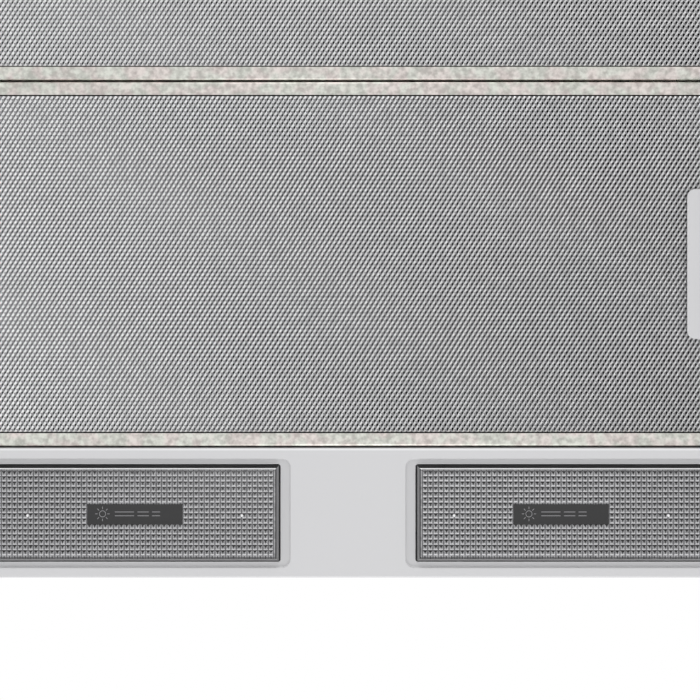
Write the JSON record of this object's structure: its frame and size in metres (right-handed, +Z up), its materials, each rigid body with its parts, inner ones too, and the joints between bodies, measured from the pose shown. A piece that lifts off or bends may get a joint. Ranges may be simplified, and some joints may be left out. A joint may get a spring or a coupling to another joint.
{
  "type": "under cabinet range hood",
  "caption": "Wedge-shaped white cooker hood for mounting under a cabinet, with swing-down mesh filters, prismatic lamp covers, slider controls, a centrifugal blower and a round top outlet.",
  "frame": {"origin": "centre of the four cabinet screw holes, on the outside of the flat top", "axes": "+X to the user's right, +Y to the wall, +Z up"},
  "size_m": [0.6, 0.4891, 0.1898],
  "materials": {
    "white_enamel": "smooth semi-gloss enamel",
    "white_plastic": "satin moulded",
    "brushed_aluminium": "fine brushed",
    "expanded_aluminium": "expanded mesh, bright",
    "mesh_wool": "open layered metal mesh",
    "spring_steel": "plain",
    "clear_plastic": "clear prismatic moulding",
    "galvanised_steel": "galvanised",
    "ivory_plastic": "moulded",
    "frosted_glass": "frosted",
    "bright_steel": "zinc plated",
    "black_plastic": "moulded",
    "collar_steel": "matt",
    "motor_aluminium": "cast",
    "bearing_brass": "sintered",
    "black_rubber": "moulded",
    "lead_insulation": "sleeved leads",
    "grey_plastic": "moulded",
    "bezel_plastic": "moulded"
  },
  "bodies": {
    "hood": {"housing_shell": "white_enamel", "front_fascia": "white_enamel", "light_panel": "white_enamel", "side_rail_left": "white_enamel", "side_rail_right": "white_enamel", "cross_rail": "white_enamel", "scroll_upper": "black_plastic", "scroll_lower": "black_plastic", "motor_can": "motor_aluminium", "motor_bearings": "bearing_brass", "motor_bracket": "galvanised_steel", "motor_grommets": "black_rubber", "inlet_grille": "black_plastic", "capacitor": "motor_aluminium", "capacitor_clamp": "galvanised_steel", "duct_collar": "collar_steel", "flap_pin": "bright_steel", "lamp_tray_left": "galvanised_steel", "lamp_tray_right": "galvanised_steel", "lampholder_left": "ivory_plastic", "lampholder_right": "ivory_plastic", "bulb_glass_left": "frosted_glass", "bulb_glass_right": "frosted_glass", "bulb_cap_left": "bright_steel", "bulb_cap_right": "bright_steel", "tray_screws": "bright_steel", "control_bezel": "bezel_plastic", "switch_block": "black_plastic", "terminal_box": "black_plastic", "terminal_lid": "black_plastic", "terminal_block": "ivory_plastic", "cable_gland": "black_rubber", "lamp_harness": "lead_insulation", "motor_harness": "lead_insulation", "switch_harness": "lead_insulation", "housing_screws": "bright_steel", "collar_screws": "bright_steel", "blower_screws": "bright_steel"},
    "filter_rear": {"filter_frame_rear": "brushed_aluminium", "filter_mesh_rear": "expanded_aluminium", "filter_backing_rear": "expanded_aluminium", "filter_core_rear": "mesh_wool", "filter_handle_rear": "white_plastic", "latch_spring_rear": "spring_steel"},
    "filter_latch_rear": {"latch_rear": "white_plastic"},
    "filter_front": {"filter_frame_front": "brushed_aluminium", "filter_mesh_front": "expanded_aluminium", "filter_backing_front": "expanded_aluminium", "filter_core_front": "mesh_wool", "filter_handle_front": "white_plastic", "latch_spring_front": "spring_steel"},
    "filter_latch_front": {"latch_front": "white_plastic"},
    "impeller": {"impeller": "black_plastic", "motor_shaft": "bright_steel"},
    "outlet_flap_front": {"flap_front": "black_plastic"},
    "outlet_flap_rear": {"flap_rear": "black_plastic"},
    "lamp_cover_left": {"lamp_lens_left": "clear_plastic"},
    "lamp_cover_right": {"lamp_lens_right": "clear_plastic"},
    "fan_control": {"fan_slider": "grey_plastic"},
    "light_control": {"light_slider": "grey_plastic"}
  },
  "joints": [
    {"name": "rear_filter_swing", "type": "hinge", "parent": "hood", "child": "filter_rear", "pos_m": [-0.2332, 0, -0.1496], "axis": [0, 1, 0], "range_deg": [0, 60]},
    {"name": "rear_latch_slide", "type": "slide", "parent": "filter_rear", "child": "filter_latch_rear", "axis": [-1, 0, 0], "range_m": [0, 0.005], "stiffness_N_per_m": 300, "springref_m": -0.003, "deforming": ["latch_spring_rear"]},
    {"name": "front_filter_swing", "type": "hinge", "parent": "hood", "child": "filter_front", "pos_m": [-0.2332, 0, -0.1496], "axis": [0, 1, 0], "range_deg": [0, 60]},
    {"name": "front_latch_slide", "type": "slide", "parent": "filter_front", "child": "filter_latch_front", "axis": [-1, 0, 0], "range_m": [0, 0.005], "stiffness_N_per_m": 300, "springref_m": -0.003, "deforming": ["latch_spring_front"]},
    {"name": "impeller_spin", "type": "hinge", "parent": "hood", "child": "impeller", "pos_m": [-0.105, -0.029, -0.04], "axis": [0, 0, 1], "continuous": true},
    {"name": "rear_flap_swing", "type": "hinge", "parent": "hood", "child": "outlet_flap_rear", "pos_m": [0, 0.059, 0.01], "axis": [1, 0, 0], "range_deg": [0, 80]},
    {"name": "front_flap_swing", "type": "hinge", "parent": "hood", "child": "outlet_flap_front", "pos_m": [0, 0.059, 0.01], "axis": [-1, 0, 0], "range_deg": [0, 80]},
    {"name": "left_lamp_cover_swing", "type": "hinge", "parent": "hood", "child": "lamp_cover_left", "pos_m": [-0.117, 0.1411, -0.15], "axis": [1, 0, 0], "range_deg": [0, 40]},
    {"name": "right_lamp_cover_swing", "type": "hinge", "parent": "hood", "child": "lamp_cover_right", "pos_m": [0.117, 0.1411, -0.15], "axis": [1, 0, 0], "range_deg": [0, 40]},
    {"name": "fan_slide", "type": "slide", "parent": "hood", "child": "fan_control", "axis": [1, 0, 0], "range_m": [0, 0.015]},
    {"name": "light_slide", "type": "slide", "parent": "hood", "child": "light_control", "axis": [1, 0, 0], "range_m": [0, 0.006]}
  ]
}
